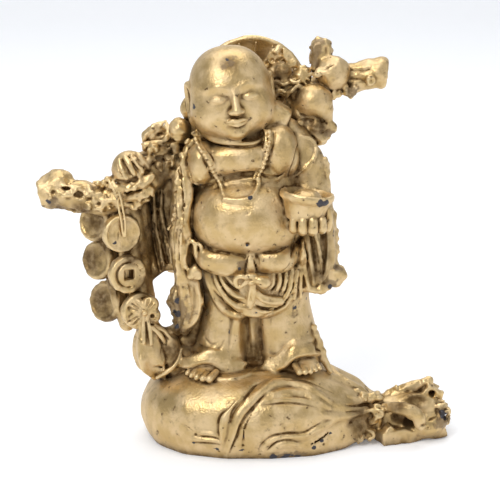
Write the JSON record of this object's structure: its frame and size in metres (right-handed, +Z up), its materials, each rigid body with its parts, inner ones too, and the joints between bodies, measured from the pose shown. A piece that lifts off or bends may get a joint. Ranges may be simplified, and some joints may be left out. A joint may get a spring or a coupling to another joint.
{
  "type": "monk statuette",
  "caption": "Gilded one-piece statuette of a stout bald monk standing on a tied cloth sack, with a bowl in hand and a branch behind the shoulders hung with coins, pouch, fruit and hat.",
  "frame": {"origin": "middle of the sack's flat underside, on the surface that the statuette stands on", "axes": "+Z up, -Y is the way the figure faces, +X towards the figure's left hand and the tied neck of the sack"},
  "size_m": [0.1074, 0.0432, 0.1043],
  "materials": {
    "gilded_resin": "satin metallic gold paint on cast resin, browned in the hollows, with small dark chips and pinholes"
  },
  "bodies": {
    "root": {"statuette": "gilded_resin"}
  },
  "joints": []
}
